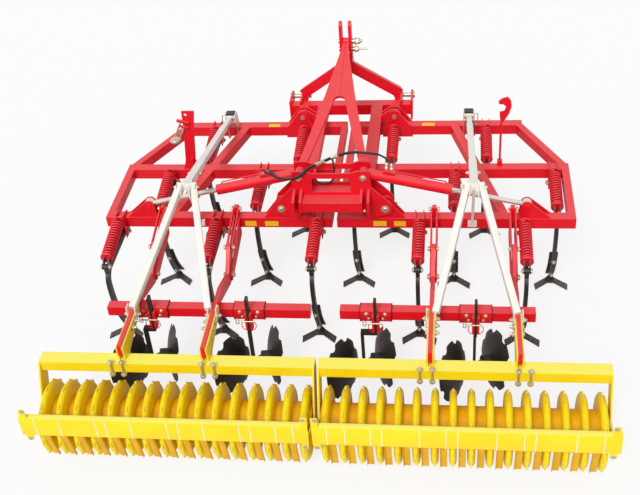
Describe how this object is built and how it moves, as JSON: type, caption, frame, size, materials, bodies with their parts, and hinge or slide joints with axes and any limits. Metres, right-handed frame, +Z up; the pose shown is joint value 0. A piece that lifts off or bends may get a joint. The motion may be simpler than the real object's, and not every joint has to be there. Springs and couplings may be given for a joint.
{
  "type": "stubble cultivator",
  "caption": "Mounted stubble cultivator with two folding wings, rows of coil-sprung wing-share tines, notched levelling discs and a rear packer roller of wedge rings.",
  "frame": {"origin": "on the ground below the centre of the overall outline, wings down", "axes": "+X to the machine's right, +Y forward to the tractor, +Z up"},
  "size_m": [4.064, 3.8, 1.844],
  "materials": {
    "red_paint": "gloss paint",
    "yellow_paint": "gloss paint",
    "dark_steel": "satin black paint",
    "pale_paint": "satin off-white paint",
    "zinc": "zinc plated",
    "chrome": "polished",
    "hose_rubber": "matt"
  },
  "bodies": {
    "centre": {"centre_frame": "red_paint", "hitch_plates": "red_paint", "hitch_tower": "red_paint", "tower_strut": "red_paint", "hitch_pins": "zinc", "fold_pins": "zinc", "hoses": "hose_rubber"},
    "wing_left": {"wing_frame_left": "red_paint", "tine_brackets_left": "red_paint", "tine_springs_left": "red_paint", "tine_shanks_left": "dark_steel", "shares_left": "dark_steel", "y_brace_left": "pale_paint", "depth_struts_left": "red_paint", "roller_arms_left": "red_paint", "disc_beam_left": "red_paint", "disc_stalks_left": "dark_steel", "roller_frame_left": "yellow_paint", "scraper_left": "yellow_paint"},
    "barrel_left": {"cylinder_barrel_left": "red_paint"},
    "rod_left": {"cylinder_rod_left": "chrome"},
    "packer_left": {"roller_left": "yellow_paint"},
    "wing_right": {"wing_frame_right": "red_paint", "tine_brackets_right": "red_paint", "tine_springs_right": "red_paint", "tine_shanks_right": "dark_steel", "shares_right": "dark_steel", "y_brace_right": "pale_paint", "depth_struts_right": "red_paint", "roller_arms_right": "red_paint", "disc_beam_right": "red_paint", "disc_stalks_right": "dark_steel", "roller_frame_right": "yellow_paint", "scraper_right": "yellow_paint"},
    "barrel_right": {"cylinder_barrel_right": "red_paint"},
    "rod_right": {"cylinder_rod_right": "chrome"},
    "packer_right": {"roller_right": "yellow_paint"},
    "disc_1": {"levelling_disc_1": "dark_steel"},
    "disc_2": {"levelling_disc_2": "dark_steel"},
    "disc_3": {"levelling_disc_3": "dark_steel"},
    "disc_4": {"levelling_disc_4": "dark_steel"},
    "disc_5": {"levelling_disc_5": "dark_steel"},
    "disc_6": {"levelling_disc_6": "dark_steel"},
    "disc_7": {"levelling_disc_7": "dark_steel"},
    "disc_8": {"levelling_disc_8": "dark_steel"}
  },
  "joints": [
    {"name": "fold_left", "type": "hinge", "parent": "centre", "child": "wing_left", "pos_m": [-0.411, 0.09, 1.01], "axis": [0, 1, 0], "range_deg": [0, 90]},
    {"name": "barrel_pivot_left", "type": "hinge", "parent": "centre", "child": "barrel_left", "pos_m": [-0.25, 0.096, 1.3], "axis": [0, 1, 0], "range_deg": [0, 92]},
    {"name": "rod_slide_left", "type": "slide", "parent": "barrel_left", "child": "rod_left", "axis": [-0.9734, 0, -0.229], "range_m": [-0.469, 0]},
    {"name": "packer_spin_left", "type": "hinge", "parent": "wing_left", "child": "packer_left", "pos_m": [-1, -1.557, 0.275], "axis": [1, 0, 0], "continuous": true},
    {"name": "fold_right", "type": "hinge", "parent": "centre", "child": "wing_right", "pos_m": [0.411, 0.09, 1.01], "axis": [0, -1, 0], "range_deg": [0, 90]},
    {"name": "barrel_pivot_right", "type": "hinge", "parent": "centre", "child": "barrel_right", "pos_m": [0.25, 0.096, 1.3], "axis": [0, -1, 0], "range_deg": [0, 92]},
    {"name": "rod_slide_right", "type": "slide", "parent": "barrel_right", "child": "rod_right", "axis": [0.9734, 0, -0.229], "range_m": [-0.469, 0]},
    {"name": "packer_spin_right", "type": "hinge", "parent": "wing_right", "child": "packer_right", "pos_m": [1, -1.557, 0.275], "axis": [1, 0, 0], "continuous": true},
    {"name": "disc_spin_1", "type": "hinge", "parent": "wing_left", "child": "disc_1", "pos_m": [-1.48043, -1.00179, 0.26953], "axis": [-0.9069, 0.3664, -0.2079], "continuous": true},
    {"name": "disc_spin_2", "type": "hinge", "parent": "wing_left", "child": "disc_2", "pos_m": [-1.24957, -0.87179, 0.26953], "axis": [0.9069, 0.3664, -0.2079], "continuous": true},
    {"name": "disc_spin_3", "type": "hinge", "parent": "wing_left", "child": "disc_3", "pos_m": [-0.68043, -1.00179, 0.26953], "axis": [-0.9069, 0.3664, -0.2079], "continuous": true},
    {"name": "disc_spin_4", "type": "hinge", "parent": "wing_left", "child": "disc_4", "pos_m": [-0.44957, -0.87179, 0.26953], "axis": [0.9069, 0.3664, -0.2079], "continuous": true},
    {"name": "disc_spin_5", "type": "hinge", "parent": "wing_right", "child": "disc_5", "pos_m": [0.16457, -1.00179, 0.26953], "axis": [-0.9069, 0.3664, -0.2079], "continuous": true},
    {"name": "disc_spin_6", "type": "hinge", "parent": "wing_right", "child": "disc_6", "pos_m": [0.39543, -0.87179, 0.26953], "axis": [0.9069, 0.3664, -0.2079], "continuous": true},
    {"name": "disc_spin_7", "type": "hinge", "parent": "wing_right", "child": "disc_7", "pos_m": [0.98457, -1.00179, 0.26953], "axis": [-0.9069, 0.3664, -0.2079], "continuous": true},
    {"name": "disc_spin_8", "type": "hinge", "parent": "wing_right", "child": "disc_8", "pos_m": [1.21543, -0.87179, 0.26953], "axis": [0.9069, 0.3664, -0.2079], "continuous": true}
  ],
  "couplings": [
    {"joint": "barrel_pivot_left", "follows": "fold_left", "ratio": 1.0174},
    {"joint": "rod_slide_left", "follows": "fold_left", "m_per_rad": -0.29807},
    {"joint": "barrel_pivot_right", "follows": "fold_right", "ratio": 1.0174},
    {"joint": "rod_slide_right", "follows": "fold_right", "m_per_rad": -0.29807}
  ]
}
